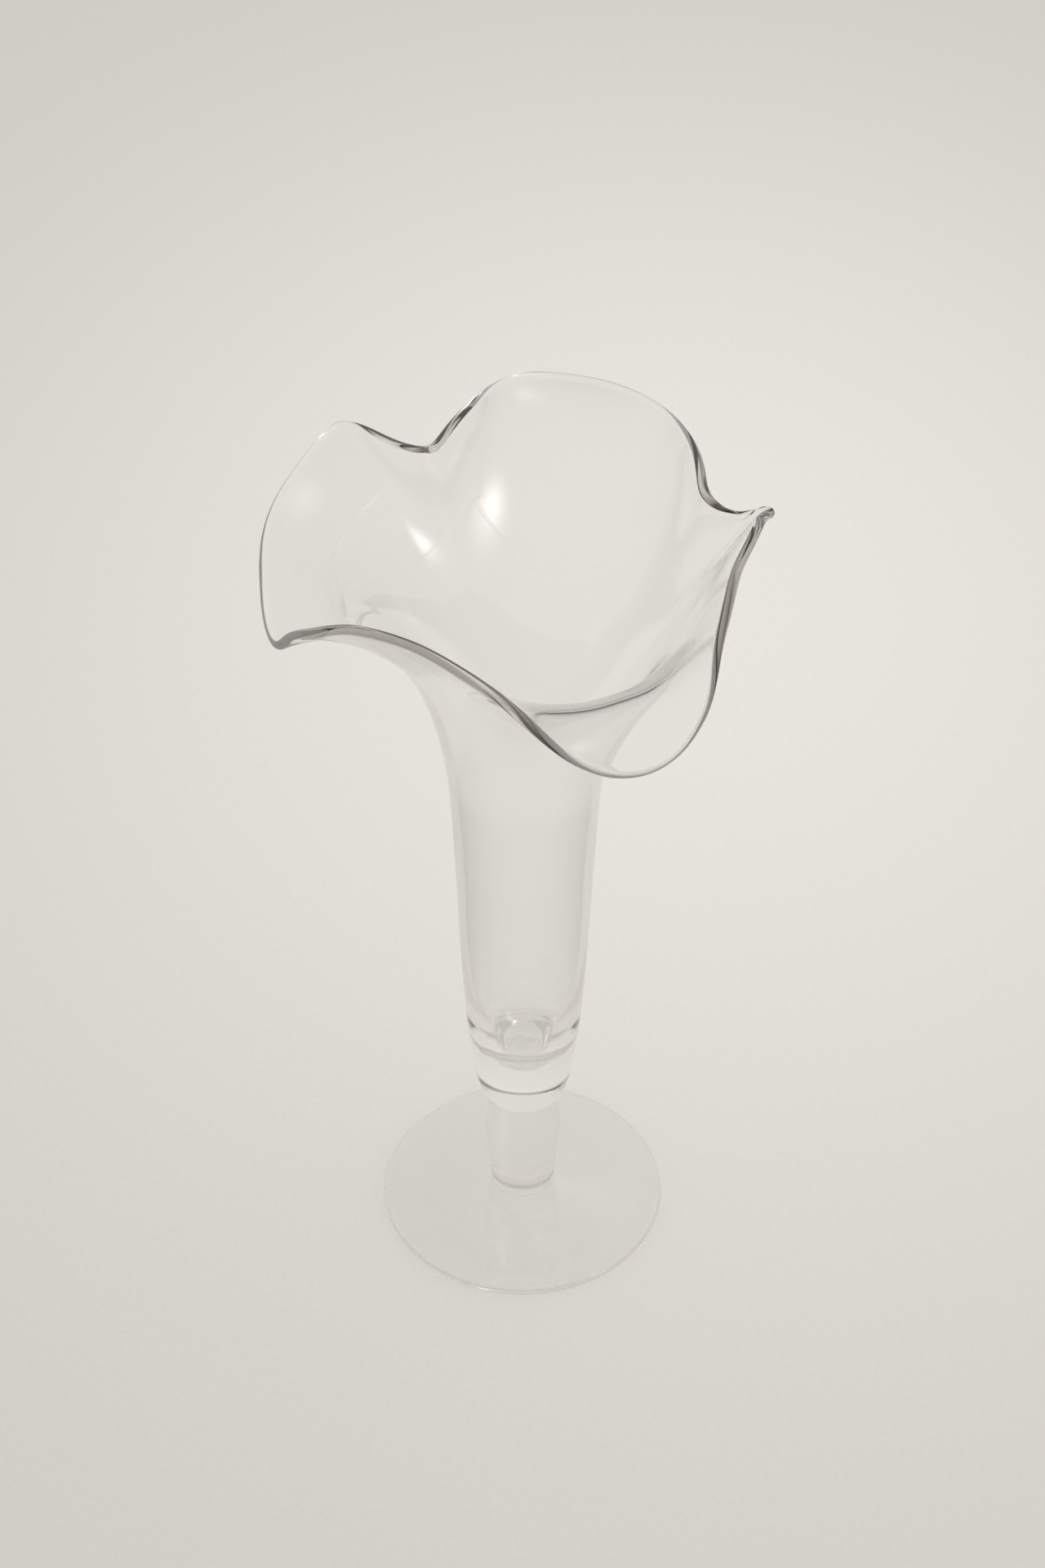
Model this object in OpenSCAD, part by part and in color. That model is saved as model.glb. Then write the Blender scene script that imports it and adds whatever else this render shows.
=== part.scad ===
// Footed glass vase: a turned foot, a short solid stem and a trumpet bowl with a ruffled rim.
// Millimetres, +Z up. The origin is the middle of the foot's underside, on the axis.

/* [Foot] */
// Diameter of the foot disc
foot_d = 86; // [70:1:110]
// Thickness of the foot at its rounded edge
foot_edge_h = 2.8; // [2:0.1:4]
// Height of the foot's crown, where the stem stands
foot_crown_h = 8.2; // [6:0.1:12]
// Width of the flat ring that the vase rests on
rest_ring_w = 5; // [3:0.5:8]
// Depth of the hollow under the foot
foot_hollow_h = 1.6; // [0.5:0.1:2.5]

/* [Stem] */
// Height of the stem, from the foot's crown to the bowl
stem_h = 38.3; // [25:0.1:60]
// Diameter of the stem at its fullest
stem_belly_d = 22.9; // [16:0.1:28]

/* [Bowl] */
// Height of the tube, from its base to the throat where the flare starts
tube_h = 125.5; // [90:0.5:170]
// Outer diameter of the tube at the throat
throat_d = 43; // [36:0.5:56]
// Thickness of the tube's wall
wall = 2.4; // [1.8:0.1:3]
// Thickness of the solid glass under the well
floor_t = 17; // [10:0.5:24]
// Height of the rounding round the bowl's base
base_round_h = 11.5; // [6:0.5:14]

/* [Rim] */
// Height of the flare, from the throat to the crest of the highest fold
flare_h = 90; // [65:1:120]
// How far the longest lobe reaches from the axis
lobe_reach = 82; // [68:1:95]
// How far the lowest lobe hangs below the highest fold
lobe_drop = 20; // [10:0.5:28]
// How far the lowest lobe's lip turns down beyond an even curve, in degrees
lobe_droop_angle = 40; // [10:1:50]
// Thickness of the glass at the lip
lip_t = 2.8; // [2.2:0.1:3.6]

/* [Hidden] */

// Clear glass with a trace of warm grey
glass_tint = [0.87, 0.87, 0.84, 0.35];

// Fineness of the turned surfaces and of the ruffled one
$fn = 96;
curve_steps = 4;
corner_steps = 5;
edge_steps = 10;
flare_rows = 12;
lip_rows = 4;
columns_share = 0.08;

// Share of the flare over which the columns turn from even spacing to the rim's own
turn_share = 0.5;

// Heights of the joints between the pieces
stem_z = foot_crown_h;
base_z = stem_z + stem_h;
throat_z = base_z + tube_h;
crest_z = throat_z + flare_h;
well_z = base_z + floor_t;

// Foot: radii, and how the crown falls away towards the edge
foot_r = foot_d / 2;
foot_edge_r = foot_edge_h / 2;
rest_outer_r = foot_r - foot_edge_r;
rest_inner_r = rest_outer_r - rest_ring_w;
crown_fall_power = 1.25;

// Stem: height share, radius share of the belly
stem_shares = [
    [0.00, 0.865], [0.05, 0.852], [0.11, 0.85], [0.20, 0.877], [0.34, 0.93],
    [0.48, 0.985], [0.62, 1.00], [0.78, 0.955], [1.00, 0.89]
];
stem_r = stem_belly_d / 2;
stem_foot_r = stem_r * stem_shares[0][1];
stem_top_r = stem_r * stem_shares[len(stem_shares) - 1][1];

// Tube, outside: height share of the tube, radius share of the throat
tube_shares = [
    [0.095, 0.684], [0.17, 0.739], [0.34, 0.82], [0.43, 0.85],
    [0.60, 0.893], [0.76, 0.93], [0.92, 0.973], [1.00, 1.00]
];
throat_r = throat_d / 2;
shoulder_r = throat_r * tube_shares[0][1];

// Angle that the rounding round the bowl's base turns through, up to the tube's own slope
corner_angle = 70;

// Well: height share from its floor to the throat, share of the room inside the wall
well_shares = [
    [0.00, 0.00], [0.011, 0.385], [0.027, 0.53], [0.065, 0.765], [0.13, 0.885],
    [0.22, 0.965], [0.33, 1.00], [0.60, 1.00], [1.00, 1.00]
];

// Rim: azimuth in degrees, then shares of the longest reach, of the deepest drop and of the
// flare's bend. The lobes lie near 209, 290, 8, 80 and 138 degrees, with a fold between each two.
rim_shares = [
    [209, 0.90, 0.61, 1.00], [213, 0.865, 0.37, 0.97], [224, 0.74, 0.13, 0.90],
    [243, 0.70, 0.10, 0.80], [263, 0.785, 0.275, 0.75], [280, 0.95, 0.83, 0.95],
    [289, 0.99, 1.00, 1.00], [297.5, 0.98, 0.94, 1.00], [306, 0.93, 0.67, 0.85],
    [321, 0.78, 0.31, 0.66], [342, 0.70, 0.14, 0.52], [362, 0.75, 0.08, 0.40],
    [367.5, 0.80, 0.16, 0.38], [371, 0.77, 0.25, 0.37], [371.2, 0.70, 0.32, 0.37],
    [375, 0.635, 0.25, 0.42], [383.5, 0.625, 0.135, 0.56], [406, 0.755, 0.20, 0.74],
    [426.5, 0.93, 0.48, 0.85], [440, 1.015, 0.645, 0.90], [453, 0.93, 0.43, 0.93],
    [468, 0.66, 0.09, 0.97], [487, 0.505, 0.03, 1.00], [494, 0.585, 0.09, 1.00],
    [495.5, 0.835, 0.195, 1.00], [502, 0.86, 0.28, 1.00], [516, 0.85, 0.415, 1.00],
    [548, 0.85, 0.50, 1.00]
];

// Folds: width of the bell that rounds them off towards the throat, how many widths of it are
// used, and the power of their fading below the rim
fold_round_angle = 28;
bell_reach = 2.7;
fold_fade = 3.5;

// Flare: lean of the glass where it leaves the throat, and the curve's two handles as shares of
// its chord, where the bend's share is 1
flare_lean_angle = 82.5;
rise_share = 0.42;
lip_pull_share = 0.38;

// One step of a smooth curve through b and c, with a and d beyond them
function curve_point(a, b, c, d, u) =
    0.5 * (2 * b + (c - a) * u + (2 * a - 5 * b + 4 * c - d) * u * u + (3 * b - a - 3 * c + d) * u * u * u);

// A smooth open curve through the points of a list
function open_curve(p, steps) =
    let (last = len(p) - 1)
    [
        for (i = [0 : last - 1], j = [0 : steps - 1])
            curve_point(
                i > 0 ? p[i - 1] : 2 * p[0] - p[1], p[i], p[i + 1],
                i + 1 < last ? p[i + 2] : 2 * p[last] - p[last - 1], j / steps
            ),
        p[last]
    ];

function unit(v) = v / norm(v);
function sum_to(v, n) = n <= 0 ? 0 : v[n - 1] + sum_to(v, n - 1);

// Foot, section: hollow, flat ring, rounded edge, and the slope up to the crown
foot_section = [
    for (i = [0 : edge_steps]) let (s = i / edge_steps) [rest_inner_r * s, foot_hollow_h * (1 - s * s)],
    for (i = [0 : edge_steps]) let (t = 180 * i / edge_steps - 90)
        [rest_outer_r + foot_edge_r * cos(t), foot_edge_r + foot_edge_r * sin(t)],
    for (i = [1 : edge_steps]) let (s = i / edge_steps)
        [
            rest_outer_r + (stem_foot_r - rest_outer_r) * s,
            foot_edge_h + (foot_crown_h - foot_edge_h) * pow(s, crown_fall_power)
        ],
    [0, foot_crown_h]
];

// Stem, section
stem_section = [
    [0, stem_z],
    for (p = open_curve(stem_shares, curve_steps)) [stem_r * p[1], stem_z + stem_h * p[0]],
    [0, base_z]
];

// Bowl, outside from the base to the throat, as radius and height
tube_section = [
    for (i = [0 : corner_steps - 1]) let (t = corner_angle * i / corner_steps)
        [
            stem_top_r + (shoulder_r - stem_top_r) * sin(t) / sin(corner_angle),
            base_z + base_round_h * (1 - cos(t)) / (1 - cos(corner_angle))
        ],
    for (p = open_curve(tube_shares, 2)) [throat_r * p[1], base_z + tube_h * p[0]]
];

// Outer radius of the tube at a height
function tube_r(z) = lookup(z, [for (p = tube_section) [p[1], p[0]]]);

// Bowl, inside from the throat down to the well's floor, without the middle point
well_curve = open_curve(well_shares, 2);
well_section = [
    for (i = [len(well_curve) - 1 : -1 : 1])
        let (z = well_z + (throat_z - well_z) * well_curve[i][0])
        [(tube_r(z) - wall) * well_curve[i][1], z]
];

// Rim: its stations in space, and how many columns lie between each two
stations = len(rim_shares);
function station(i) = let (turn = floor(i / stations)) rim_shares[i - turn * stations] + [360 * turn, 0, 0, 0];
function place(s) = [lobe_reach * s[1] * cos(s[0]), lobe_reach * s[1] * sin(s[0]), crest_z - lobe_drop * s[2]];
gaps = [for (i = [0 : stations - 1]) norm(place(station(i + 1)) - place(station(i)))];
rim_length = sum_to(gaps, stations);
column_gap = lobe_reach * columns_share;

// Each column: azimuth and shares at the rim as above, then its own even azimuth on the tube
columns = [
    for (i = [0 : stations - 1])
        let (n = ceil(gaps[i] / column_gap), before = sum_to(gaps, i))
        for (j = [0 : n - 1])
            let (s = curve_point(station(i - 1), station(i), station(i + 1), station(i + 2), j / n))
            [s[0], s[1], s[2], s[3], rim_shares[0][0] + 360 * (before + gaps[i] * j / n) / rim_length]
];
count = len(columns);

// Each column with its folds rounded off, by a bell over its neighbours
fold_reach = ceil(bell_reach * fold_round_angle * count / 360);
function around(k) = let (turn = floor(k / count)) columns[k - turn * count] + 360 * turn * [1, 0, 0, 0, 1];
calm_columns = [
    for (j = [0 : count - 1])
        let (
            near = [for (k = [j - fold_reach : j + fold_reach]) around(k)],
            share = [
                for (k = [j - fold_reach : j + fold_reach])
                    (around(k + 1)[4] - around(k - 1)[4])
                        * exp(-0.5 * pow((around(k)[4] - columns[j][4]) / fold_round_angle, 2))
            ]
        )
        share * near / sum_to(share, len(share))
];

// One column's shares at a place between the throat (0) and the lip (1)
function faded(j, u) =
    let (c = calm_columns[j] + (columns[j] - calm_columns[j]) * pow(u, fold_fade))
    [c[0], c[1], c[2], c[3], columns[j][4]];

// Middle of the glass along one column of the flare, from the throat (0) to the lip (1)
throat_mid_r = throat_r - wall / 2;
function flare_point(c, u) =
    let (
        start = [throat_mid_r, throat_z],
        end = [lobe_reach * c[1], crest_z - lobe_drop * c[2]],
        chord = norm(end - start),
        rise = atan2(end[1] - start[1], end[0] - start[0]),
        lip = 2 * rise - flare_lean_angle - lobe_droop_angle * c[2],
        h1 = start + rise_share * c[3] * chord * [cos(flare_lean_angle), sin(flare_lean_angle)],
        h2 = end - lip_pull_share * c[3] * chord * [cos(lip), sin(lip)],
        v = 1 - u,
        p = v * v * v * start + 3 * v * v * u * h1 + 3 * v * u * u * h2 + u * u * u * end,
        w = min(1, u / turn_share),
        turn = c[4] + (c[0] - c[4]) * w * w * (3 - 2 * w)
    )
    [p[0] * cos(turn), p[0] * sin(turn), p[1]];

flare_mid = [
    for (i = [0 : flare_rows])
        let (u = i / flare_rows)
        [for (j = [0 : count - 1]) flare_point(faded(j, u), u)]
];

// Outward direction square to the glass
function flare_normal(i, j) =
    let (
        across = flare_mid[i][(j + 1) % count] - flare_mid[i][(j + count - 1) % count],
        along = flare_mid[min(i + 1, flare_rows)][j] - flare_mid[max(i - 1, 0)][j]
    )
    unit(cross(across, along));
flare_out = [for (i = [0 : flare_rows]) [for (j = [0 : count - 1]) flare_normal(i, j)]];

// One row of the flare's skin, half the glass away from its middle on the given side
function skin_row(i, side) =
    let (half_t = side * (wall + (lip_t - wall) * i / flare_rows) / 2)
    [for (j = [0 : count - 1]) flare_mid[i][j] + half_t * flare_out[i][j]];

// One row round the fire-polished lip, at an angle from the outer skin
function lip_row(t) =
    [
        for (j = [0 : count - 1])
            let (onward = unit(flare_mid[flare_rows][j] - flare_mid[flare_rows - 1][j]))
            flare_mid[flare_rows][j] + lip_t / 2 * (cos(t) * flare_out[flare_rows][j] + sin(t) * onward)
    ];

// One level row of the turned part of the bowl
function turned_row(p) = [for (c = columns) [p[0] * cos(c[4]), p[0] * sin(c[4]), p[1]]];

bowl_rows = [
    for (i = [0 : len(tube_section) - 2]) turned_row(tube_section[i]),
    for (i = [0 : flare_rows]) skin_row(i, 1),
    for (i = [1 : lip_rows - 1]) lip_row(180 * i / lip_rows),
    for (i = [flare_rows : -1 : 0]) skin_row(i, -1),
    for (i = [1 : len(well_section) - 1]) turned_row(well_section[i])
];

module foot_disc() {
    color(glass_tint) rotate_extrude() polygon(foot_section);
}

module knop_stem() {
    color(glass_tint) rotate_extrude() polygon(stem_section);
}

module trumpet_bowl() {
    last = len(bowl_rows) - 1;
    under = (last + 1) * count;
    color(glass_tint) polyhedron(
        points = [for (row = bowl_rows) each row, [0, 0, base_z], [0, 0, well_z]],
        faces = [
            for (j = [0 : count - 1])
                let (k = (j + 1) % count)
                each [
                    [under, j, k],
                    for (i = [0 : last - 1])
                        each [
                            [i * count + j, (i + 1) * count + j, (i + 1) * count + k],
                            [i * count + j, (i + 1) * count + k, i * count + k]
                        ],
                    [last * count + j, under + 1, last * count + k]
                ]
        ]
    );
}

foot_disc();
knop_stem();
trumpet_bowl();
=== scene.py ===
"""A footed clear-glass vase with a ruffled rim, on a pale table in the even light of a room.

Lengths are in metres. Each piece's object sits at the frame's origin, and its place is in its mesh.
"""

from __future__ import annotations

import logging
import math
from dataclasses import dataclass
from enum import Enum, IntEnum
from typing import Any, Callable, Mapping, Sequence

import bpy
import numpy as np
from mathutils import Matrix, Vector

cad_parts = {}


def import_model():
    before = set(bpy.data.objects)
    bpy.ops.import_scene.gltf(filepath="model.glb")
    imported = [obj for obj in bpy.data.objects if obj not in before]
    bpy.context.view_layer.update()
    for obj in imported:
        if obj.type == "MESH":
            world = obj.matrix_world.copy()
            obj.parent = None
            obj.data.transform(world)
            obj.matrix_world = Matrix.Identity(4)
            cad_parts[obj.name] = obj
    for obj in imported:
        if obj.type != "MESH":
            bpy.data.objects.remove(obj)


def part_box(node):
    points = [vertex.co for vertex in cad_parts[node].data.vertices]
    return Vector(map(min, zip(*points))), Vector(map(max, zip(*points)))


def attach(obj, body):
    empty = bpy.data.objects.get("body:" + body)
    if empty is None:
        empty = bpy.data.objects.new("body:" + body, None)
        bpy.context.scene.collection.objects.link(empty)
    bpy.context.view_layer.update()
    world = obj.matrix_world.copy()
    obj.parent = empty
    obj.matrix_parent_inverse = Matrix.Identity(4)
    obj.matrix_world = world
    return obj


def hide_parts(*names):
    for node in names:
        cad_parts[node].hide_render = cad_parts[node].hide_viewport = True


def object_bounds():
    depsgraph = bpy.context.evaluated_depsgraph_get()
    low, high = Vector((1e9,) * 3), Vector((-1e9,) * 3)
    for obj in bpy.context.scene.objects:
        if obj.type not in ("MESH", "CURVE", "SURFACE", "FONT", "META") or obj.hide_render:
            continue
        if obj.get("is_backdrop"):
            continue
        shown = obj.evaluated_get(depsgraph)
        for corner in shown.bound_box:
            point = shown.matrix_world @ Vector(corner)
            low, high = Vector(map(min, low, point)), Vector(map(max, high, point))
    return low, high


log = logging.getLogger("glass_vase")

MM = 0.001
Colour = tuple[float, float, float]
WHITE: Colour = (1.0, 1.0, 1.0)
PLAIN_BLEND = 0.5  # At this blend a Layer Weight node's Facing is 1 - |cos|, not a power of it.


class Skin(IntEnum):
    """Material slots of a glass piece: its open skin, and the face fused to its neighbour."""

    OPEN = 0
    FUSED = 1


class Side(Enum):
    """Which side of the glass a surface is on, as the sign of its step along the outward normal."""

    OUTER = 1.0
    INNER = -1.0


# Shader maths


class ColourMix(IntEnum):
    """Sockets of a Mix node that mixes colours, by their place in its lists."""

    SHARE = 0
    RESULT = 2
    FIRST = 6
    SECOND = 7


@dataclass(frozen=True)
class Grain:
    """A fractal noise.

    It has scale waves a metre and detail finer layers, each rough times as strong as the one before.
    The part of it within spread, if given, is stretched to run smoothly from 0 to 1.
    """

    scale: float
    detail: float = 2.0
    rough: float = 0.5
    spread: tuple[float, float] | None = None


class Signal:
    """A shader value: arithmetic on it adds Math nodes to its graph."""

    def __init__(self, graph: Graph, socket: bpy.types.NodeSocket | None) -> None:
        """Keep the graph and the output socket that carries the value."""
        self.graph = graph
        self.socket = socket

    def _math(self, operation: str, first: Term, second: Term) -> Signal:
        """Add a Math node.

        Args:
            operation: the Math node's operation.
            first: its first value.
            second: its second value.

        Returns:
            The node's result.
        """
        return self.graph.node("ShaderNodeMath", {"operation": operation}, {0: first, 1: second})

    def __add__(self, other: Term) -> Signal:
        """This value plus another."""
        return self._math("ADD", self, other)

    def __radd__(self, other: Term) -> Signal:
        """A number plus this value."""
        return self._math("ADD", other, self)

    def __sub__(self, other: Term) -> Signal:
        """This value minus another."""
        return self._math("SUBTRACT", self, other)

    def __rsub__(self, other: Term) -> Signal:
        """A number minus this value."""
        return self._math("SUBTRACT", other, self)

    def __mul__(self, other: Term) -> Signal:
        """This value times another."""
        return self._math("MULTIPLY", self, other)

    def __rmul__(self, other: Term) -> Signal:
        """A number times this value."""
        return self._math("MULTIPLY", other, self)

    def __pow__(self, other: Term) -> Signal:
        """This value to a power."""
        return self._math("POWER", self, other)

    def greater(self, other: Term) -> Signal:
        """1 where this value is above another, else 0."""
        return self._math("GREATER_THAN", self, other)

    def at_least_zero(self) -> Signal:
        """This value, or 0 where it is less."""
        return self._math("MAXIMUM", self, 0.0)

    def at_most_one(self) -> Signal:
        """This value, or 1 where it is more."""
        return self._math("MINIMUM", self, 1.0)

    def ramp(self, low: float, high: float) -> Signal:
        """This value's smooth rise from 0 at low to 1 at high."""
        return self.graph.node(
            "ShaderNodeMapRange",
            {"interpolation_type": "SMOOTHSTEP"},
            {"Value": self, "From Min": low, "From Max": high},
        )


Term = Signal | float
Paint = Signal | Colour


class Graph:
    """A node tree that is written as expressions."""

    def __init__(self, tree: bpy.types.NodeTree) -> None:
        """Empty the tree and keep it."""
        self.tree = tree
        tree.nodes.clear()

    def node(
        self,
        kind: str,
        settings: Mapping[str, Any] | None = None,
        values: Mapping[str | int, Any] | None = None,
        output: str | int = 0,
    ) -> Signal:
        """Add any node.

        Args:
            kind: the node's type.
            settings: its properties, set first.
            values: a number, colour or signal for each of its input sockets.
            output: the output socket to hand back.

        Returns:
            That output as a signal, which has no socket where the node has no output.
        """
        made = self.tree.nodes.new(kind)
        for name, value in (settings or {}).items():
            setattr(made, name, value)
        for name, value in (values or {}).items():
            socket = made.inputs[name]
            if isinstance(value, Signal):
                self.tree.links.new(value.socket, socket)
            else:
                socket.default_value = value
        return Signal(self, made.outputs[output] if len(made.outputs) else None)

    def blend(self, share: Term, low: Paint, high: Paint, kind: str = "MIX") -> Signal:
        """A colour made of two.

        Args:
            share: how much of the second colour it has; it may pass 1.
            low: the first colour.
            high: the second colour.
            kind: "MIX" to go over to the second, "ADD" to add it or "MULTIPLY" to multiply by it.

        Returns:
            The colour.
        """
        first, second = (paint if isinstance(paint, Signal) else (*paint, 1.0) for paint in (low, high))
        return self.node(
            "ShaderNodeMix",
            {"data_type": "RGBA", "blend_type": kind, "clamp_factor": False},
            {ColourMix.SHARE: share, ColourMix.FIRST: first, ColourMix.SECOND: second},
            output=ColourMix.RESULT,
        )

    def mix(self, share: Signal, first: Signal, second: Signal) -> Signal:
        """A shader that goes from the first to the second as share goes from 0 to 1."""
        return self.node("ShaderNodeMixShader", values={0: share, 1: first, 2: second})

    def clear(self, tint: Colour) -> Signal:
        """A shader that light passes unbent, times a tint."""
        return self.node("ShaderNodeBsdfTransparent", values={"Color": (*tint, 1.0)})

    def show(self, surface: Signal) -> None:
        """Make a shader the material's surface."""
        self.node("ShaderNodeOutputMaterial", values={"Surface": surface})

    def noise(self, where: Signal, grain: Grain) -> Signal:
        """Fractal noise on a position.

        Args:
            where: the position.
            grain: what the noise is like.

        Returns:
            The noise, about 0.5 and from 0 to 1, or its spread part.
        """
        plain = self.node(
            "ShaderNodeTexNoise",
            {"noise_dimensions": "3D"},
            {"Vector": where, "Scale": grain.scale, "Detail": grain.detail, "Roughness": grain.rough},
        )
        return plain.ramp(*grain.spread) if grain.spread else plain

    def bump(self, height: Signal, depth: float, strength: float = 1.0) -> Signal:
        """A normal tilted by a height from 0 to 1 that stands for depth metres."""
        values = {"Strength": strength, "Distance": depth, "Height": height}
        return self.node("ShaderNodeBump", values=values)

    def vector(self, operation: str, first: Paint, second: Paint, output: str = "Vector") -> Signal:
        """Add a Vector Math node.

        Args:
            operation: the node's operation.
            first: its first vector.
            second: its second vector.
            output: "Vector", or "Value" for an operation that gives a number.

        Returns:
            The node's result.
        """
        return self.node("ShaderNodeVectorMath", {"operation": operation}, {0: first, 1: second}, output)

    def place(self) -> Signal:
        """The object's own coordinates."""
        return self.node("ShaderNodeTexCoord", output="Object")

    def depth(self, where: Signal) -> Signal:
        """The second part of a position or a direction, towards the back of the vase."""
        return self.node("ShaderNodeSeparateXYZ", values={0: where}, output="Y")

    def height(self, where: Signal) -> Signal:
        """The third part of a position or a direction, upwards."""
        return self.node("ShaderNodeSeparateXYZ", values={0: where}, output="Z")

    def edge_on(self) -> Signal:
        """1 - |cos| of the angle between the ray and the surface's normal."""
        return self.node("ShaderNodeLayerWeight", values={"Blend": PLAIN_BLEND}, output="Facing")

    def ray(self, fact: str) -> Signal:
        """A fact of the ray that sees the surface, by the name of the Light Path node's output."""
        return self.node("ShaderNodeLightPath", output=fact)

    def either(self, first: str, second: str) -> Signal:
        """1 where one of two facts of the ray holds, else 0."""
        return (self.ray(first) + self.ray(second)).at_most_one()

    def in_glass(self) -> Signal:
        """1 on a ray that glass has just mirrored or let through, else 0."""
        return self.either("Is Glossy Ray", "Is Transmission Ray")

    def mirrored(self) -> Signal:
        """1 on a ray that was mirrored anywhere on its way, else 0."""
        return self.ray("Glossy Depth").greater(0.0)


def new_material(name: str) -> tuple[bpy.types.Material, Graph]:
    """A material with an empty node tree, and that tree as a graph."""
    material = bpy.data.materials.new(name)
    material.use_nodes = True
    return material, Graph(material.node_tree)


# Finishes


@dataclass(frozen=True)
class ClearGlass:
    """Fire-polished soda glass: clear, faintly warm grey, with the slow ripple of hand work."""

    name: str
    ior: float = 1.5
    tint: Colour = (0.985, 0.984, 0.982)
    warm_tint: Colour = (0.978, 0.976, 0.970)
    drift: Grain = Grain(scale=9.0, detail=1.0, spread=(0.35, 0.70))
    thick_tint: Colour = (0.986, 0.985, 0.982)
    thick_up_to: float = 60 * MM
    thin_from: float = 190 * MM
    # Painted shade: the tube's edges are darkened by the ray's angle, with this grey and power.
    tube_edge_shade: Colour = (0.55, 0.545, 0.53)
    edge_shade_power: float = 2.0
    tube_starts: tuple[float, float] = (75 * MM, 105 * MM)
    tube_ends: tuple[float, float] = (166 * MM, 184 * MM)
    ripple: Grain = Grain(scale=28.0, detail=1.0, rough=0.35)
    ripple_depth: float = 0.12 * MM
    head_on: float = 0.04
    edge_power: float = 5.0
    most_mirrorings: float = 3.5
    most_crossings: float = 9.5
    trapped_tint: Colour = (0.955, 0.95, 0.94)
    # Painted shade: the dark grey that dims light leaving the front of the rim, drawing dark streaks
    # there.
    rim_painted_shade: Colour = (0.52, 0.51, 0.49)
    rim_starts: tuple[float, float] = (150 * MM, 185 * MM)
    rim_back_starts: tuple[float, float] = (18 * MM, 34 * MM)
    worn_height: float = 0.0
    worn_through: float = 0.3
    worn_roughness: float = 0.28
    scratches: Grain = Grain(scale=900.0, detail=3.0, rough=0.7, spread=(0.35, 0.75))

    def skin(self, graph: Graph) -> Signal:
        """The glass itself.

        The tint drifts between its two values with a slow noise. It is greyer low down, where the glass is
        thick. In the tube it goes grey by (1 - |cos|) to a power: painted shade that darkens the tube's
        edges as seen, for the dark lines that glass shows there, where light also goes a long way along
        its wall. A low bump ripples the skin. The ring that the vase stands on is worn matt, fully up to
        worn_through of worn_height and not at all above it.

        Args:
            graph: the material's graph.

        Returns:
            The shader.
        """
        where = graph.place()
        height = graph.height(where)
        thin = height.ramp(self.thick_up_to, self.thin_from)
        thin_tint = graph.blend(graph.noise(where, self.drift), self.tint, self.warm_tint)
        in_tube = height.ramp(*self.tube_starts) * (1.0 - height.ramp(*self.tube_ends))
        values: dict[str | int, Any] = {
            # The base colour carries painted shade at the tube's edges.
            "Base Color": graph.blend(
                graph.edge_on() ** self.edge_shade_power * in_tube,
                graph.blend(thin, self.thick_tint, thin_tint),
                self.tube_edge_shade,
            ),
            "Roughness": 0.0,
            "IOR": self.ior,
            "Transmission Weight": 1.0,
            "Normal": graph.bump(graph.noise(where, self.ripple), self.ripple_depth),
        }
        if self.worn_height > 0:
            worn = 1.0 - height.ramp(self.worn_through * self.worn_height, self.worn_height)
            values["Roughness"] = worn * graph.noise(where, self.scratches) * self.worn_roughness
        return graph.node("ShaderNodeBsdfPrincipled", values=values)

    def passing(self, graph: Graph, skin: Signal) -> Signal:
        """The skin as light on its way to the table meets it, for a shadow as pale as glass casts.

        Light passes unbent, less its mirroring head_on + (1 - head_on) (1 - |cos|)^edge_power.

        Args:
            graph: the material's graph.
            skin: the glass itself.

        Returns:
            The shader.
        """
        mirrored = self.head_on + (1.0 - self.head_on) * graph.edge_on() ** self.edge_power
        lighting = graph.either("Is Shadow Ray", "Is Diffuse Ray")
        return graph.mix(lighting * (1.0 - mirrored), skin, graph.clear(WHITE))

    def trapping(self, graph: Graph, passing: Signal) -> Signal:
        """The skin as light inside the wall meets it.

        Light that was mirrored more than most_mirrorings times, once less in the rim, or that crossed the
        skin more than most_crossings times, leaves the glass dimmed: in the front of the rim by the rim's
        dark grey, a painted shade that draws dark streaks there, and by trapped_tint elsewhere.

        Args:
            graph: the material's graph.
            passing: the skin that other light meets.

        Returns:
            The shader.
        """
        where = graph.place()
        in_rim = graph.height(where).ramp(*self.rim_starts)
        at_back = graph.depth(where).ramp(*self.rim_back_starts)
        # In the front of the rim, leaving light is dimmed to a painted shade.
        exits = (graph.clear(tint) for tint in (self.trapped_tint, self.rim_painted_shade))
        leaving = graph.mix(in_rim * (1.0 - at_back), *exits)
        mirrored_out = graph.ray("Glossy Depth").greater(self.most_mirrorings - in_rim)
        crossed_out = graph.ray("Transmission Depth").greater(self.most_crossings)
        return graph.mix((mirrored_out + crossed_out).at_most_one(), passing, leaving)

    def material(self) -> bpy.types.Material:
        """Build the finish.

        The camera sees the skin, and all other light meets it as passing and trapping say.

        Returns:
            The material.
        """
        material, graph = new_material(self.name)
        skin = self.skin(graph)
        followed = self.trapping(graph, self.passing(graph, skin))
        graph.show(graph.mix(graph.ray("Is Camera Ray"), followed, skin))
        return material


@dataclass(frozen=True)
class FusedFace:
    """A face where two gathers of glass became one: light goes straight through it."""

    name: str = "fused_face"

    def material(self) -> bpy.types.Material:
        """A skin that isn't there, so that the joined pieces bend light as one.

        Returns:
            The material.
        """
        material, graph = new_material(self.name)
        values = {"Base Color": (*WHITE, 1.0), "Alpha": 0.0}
        graph.show(graph.node("ShaderNodeBsdfPrincipled", values=values))
        return material


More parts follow.
